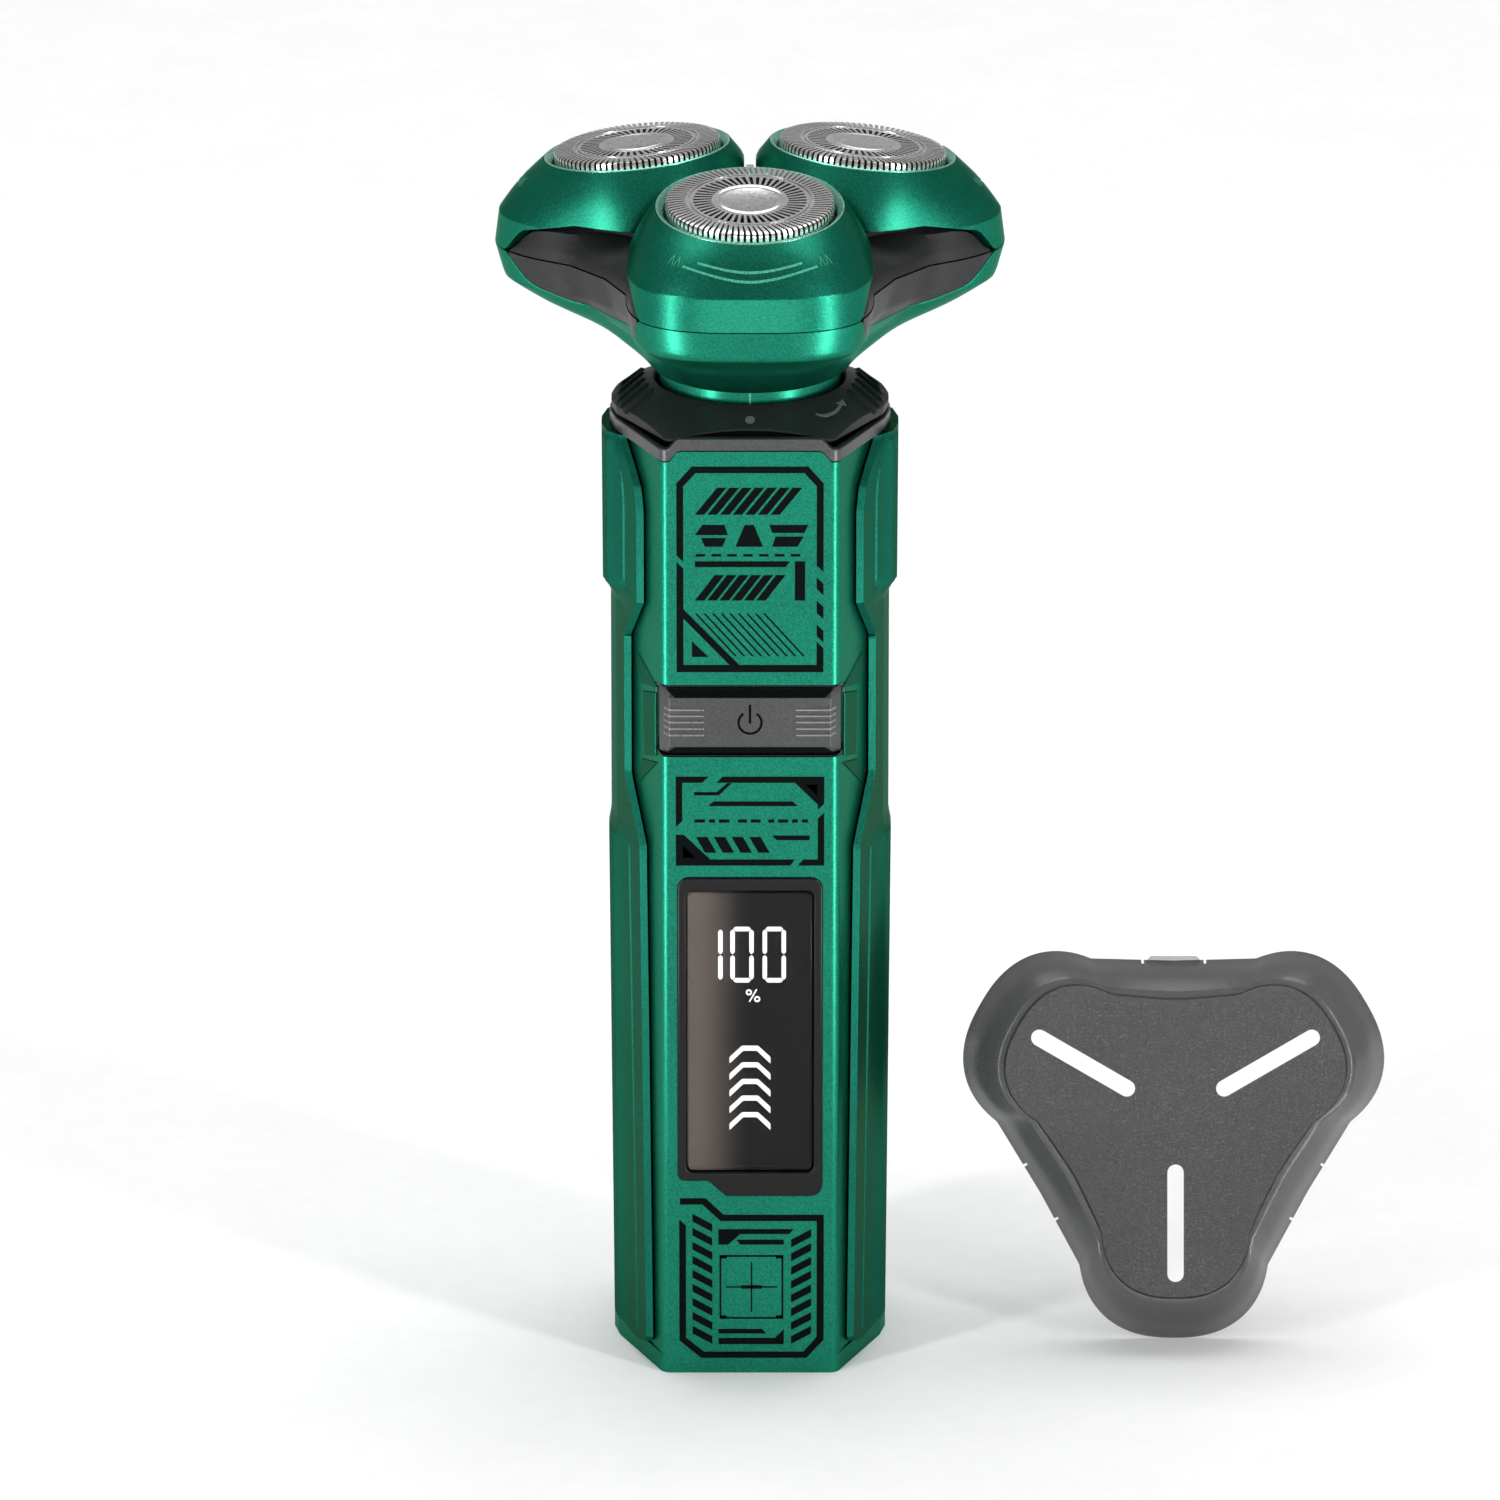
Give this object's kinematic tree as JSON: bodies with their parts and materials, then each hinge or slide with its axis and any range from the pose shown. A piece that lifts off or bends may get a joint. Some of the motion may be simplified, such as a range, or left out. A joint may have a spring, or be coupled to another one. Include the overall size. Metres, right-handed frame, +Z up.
{
  "type": "rotary electric shaver",
  "caption": "Upright octagonal handle with display and power button, a turning neck, a three-lobed head with floating round cutters, and a separate clear protective cover.",
  "frame": {"origin": "middle of the flat base of the handle, on the handle axis", "axes": "+Z up along the handle to the head, front with display and button faces -Y, +X to the right seen from the front"},
  "size_m": [0.1184, 0.061, 0.1642],
  "materials": {
    "green_paint": "fine metallic flake, satin clear coat",
    "dark_green_paint": "fine metallic flake, satin clear coat",
    "light_green_paint": "satin paint on the bevelled rims",
    "graphite_plastic": "fine moulded grain",
    "grey_plastic": "fine moulded grain",
    "light_grey_plastic": "moulded satin",
    "black_gloss": "polished moulded",
    "lens_glass": "smoked hard-coated window",
    "white_light": "lit segments",
    "screw_steel": "plated",
    "cutter_steel": "ground and polished, slotted",
    "motor_steel": "zinc plated",
    "copper_winding": "enamelled winding",
    "board_green": "solder mask",
    "battery_wrap": "shrink film",
    "white_plastic": "acetal, moulded",
    "black_rubber": "moulded",
    "smoked_plastic": "transparent smoke grey, fine texture"
  },
  "bodies": {
    "handle": {"front_housing": "green_paint", "rear_housing": "green_paint", "side_panel_left": "dark_green_paint", "side_panel_right": "dark_green_paint", "base_cap": "graphite_plastic", "base_screws": "screw_steel", "charging_socket": "screw_steel", "socket_tongue": "graphite_plastic", "top_trim": "grey_plastic", "collar": "graphite_plastic", "coupling_seat": "graphite_plastic", "shaft_seal": "black_rubber", "display_bezel": "black_gloss", "display_lens": "lens_glass", "display_segments": "white_light", "display_module": "black_gloss", "button_bezel": "black_gloss", "tact_switch": "graphite_plastic", "main_board": "board_green", "battery_cell": "battery_wrap", "battery_contacts": "screw_steel", "inner_chassis": "graphite_plastic", "motor_can": "motor_steel", "motor_bracket": "graphite_plastic", "motor_screws": "screw_steel"},
    "button": {"power_button": "grey_plastic"},
    "rotor": {"motor_shaft": "screw_steel", "motor_armature": "copper_winding", "drive_coupling": "white_plastic"},
    "head_base": {"neck_ring": "green_paint", "lower_shell": "green_paint", "lower_webs": "graphite_plastic", "gear_base": "grey_plastic", "gear_plate": "grey_plastic", "gear_plate_screws": "screw_steel"},
    "central_gear": {"sun_gear": "white_plastic"},
    "head_cover": {"upper_frame": "graphite_plastic", "frame_spider": "graphite_plastic", "pod_front": "green_paint", "pod_right": "green_paint", "pod_left": "green_paint", "pod_rims": "light_green_paint", "cutter_retainer": "grey_plastic", "retainer_screw": "grey_plastic", "rear_catch": "light_grey_plastic"},
    "cover": {"protective_cover": "smoked_plastic"},
    "drive_front": {"drive_gear_front": "white_plastic"},
    "cutter_front": {"guard_front": "cutter_steel"},
    "blade_front": {"blade_carrier_front": "graphite_plastic", "blade_ring_front": "cutter_steel"},
    "drive_right": {"drive_gear_right": "white_plastic"},
    "cutter_right": {"guard_right": "cutter_steel"},
    "blade_right": {"blade_carrier_right": "graphite_plastic", "blade_ring_right": "cutter_steel"},
    "drive_left": {"drive_gear_left": "white_plastic"},
    "cutter_left": {"guard_left": "cutter_steel"},
    "blade_left": {"blade_carrier_left": "graphite_plastic", "blade_ring_left": "cutter_steel"}
  },
  "joints": [
    {"name": "power_press", "type": "slide", "parent": "handle", "child": "button", "axis": [0, 1, 0], "range_m": [0, 0.0006], "stiffness_N_per_m": 800, "springref_m": -0.0004},
    {"name": "motor_spin", "type": "hinge", "parent": "handle", "child": "rotor", "pos_m": [0, 0, 0.1], "axis": [0, 0, 1], "continuous": true},
    {"name": "head_twist", "type": "hinge", "parent": "handle", "child": "head_base", "pos_m": [0, 0, 0.132], "axis": [0, 0, 1], "range_deg": [-30, 0]},
    {"name": "central_gear_spin", "type": "hinge", "parent": "head_base", "child": "central_gear", "pos_m": [0, 0, 0.147], "axis": [0, 0, 1], "continuous": true},
    {"name": "head_cover_lift", "type": "slide", "parent": "head_base", "child": "head_cover", "axis": [0, 0, 1], "range_m": [0, 0.03]},
    {"name": "cover_lift", "type": "slide", "parent": "handle", "child": "cover", "axis": [0, 0, 1], "range_m": [0, 0.06]},
    {"name": "drive_spin_front", "type": "hinge", "parent": "head_base", "child": "drive_front", "pos_m": [0, -0.01663, 0.147], "axis": [0, 0, 1], "continuous": true},
    {"name": "float_front", "type": "slide", "parent": "head_cover", "child": "cutter_front", "axis": [0, -0.1193, 0.9929], "range_m": [-0.0012, 0], "stiffness_N_per_m": 400, "springref_m": 0.002},
    {"name": "blade_spin_front", "type": "hinge", "parent": "cutter_front", "child": "blade_front", "pos_m": [0, -0.0172, 0.1629], "axis": [0, -0.1193, 0.9929], "continuous": true},
    {"name": "drive_spin_right", "type": "hinge", "parent": "head_base", "child": "drive_right", "pos_m": [0.0144, 0.00831, 0.147], "axis": [0, 0, 1], "continuous": true},
    {"name": "float_right", "type": "slide", "parent": "head_cover", "child": "cutter_right", "axis": [0.1033, 0.0596, 0.9929], "range_m": [-0.0012, 0], "stiffness_N_per_m": 400, "springref_m": 0.002},
    {"name": "blade_spin_right", "type": "hinge", "parent": "cutter_right", "child": "blade_right", "pos_m": [0.0149, 0.0086, 0.1629], "axis": [0.1033, 0.0596, 0.9929], "continuous": true},
    {"name": "drive_spin_left", "type": "hinge", "parent": "head_base", "child": "drive_left", "pos_m": [-0.0144, 0.00831, 0.147], "axis": [0, 0, 1], "continuous": true},
    {"name": "float_left", "type": "slide", "parent": "head_cover", "child": "cutter_left", "axis": [-0.1033, 0.0596, 0.9929], "range_m": [-0.0012, 0], "stiffness_N_per_m": 400, "springref_m": 0.002},
    {"name": "blade_spin_left", "type": "hinge", "parent": "cutter_left", "child": "blade_left", "pos_m": [-0.0149, 0.0086, 0.1629], "axis": [-0.1033, 0.0596, 0.9929], "continuous": true}
  ],
  "couplings": [
    {"joint": "central_gear_spin", "follows": "motor_spin", "ratio": 1},
    {"joint": "drive_spin_front", "follows": "motor_spin", "ratio": -0.64},
    {"joint": "blade_spin_front", "follows": "motor_spin", "ratio": -0.64},
    {"joint": "drive_spin_right", "follows": "motor_spin", "ratio": -0.64},
    {"joint": "blade_spin_right", "follows": "motor_spin", "ratio": -0.64},
    {"joint": "drive_spin_left", "follows": "motor_spin", "ratio": -0.64},
    {"joint": "blade_spin_left", "follows": "motor_spin", "ratio": -0.64}
  ]
}
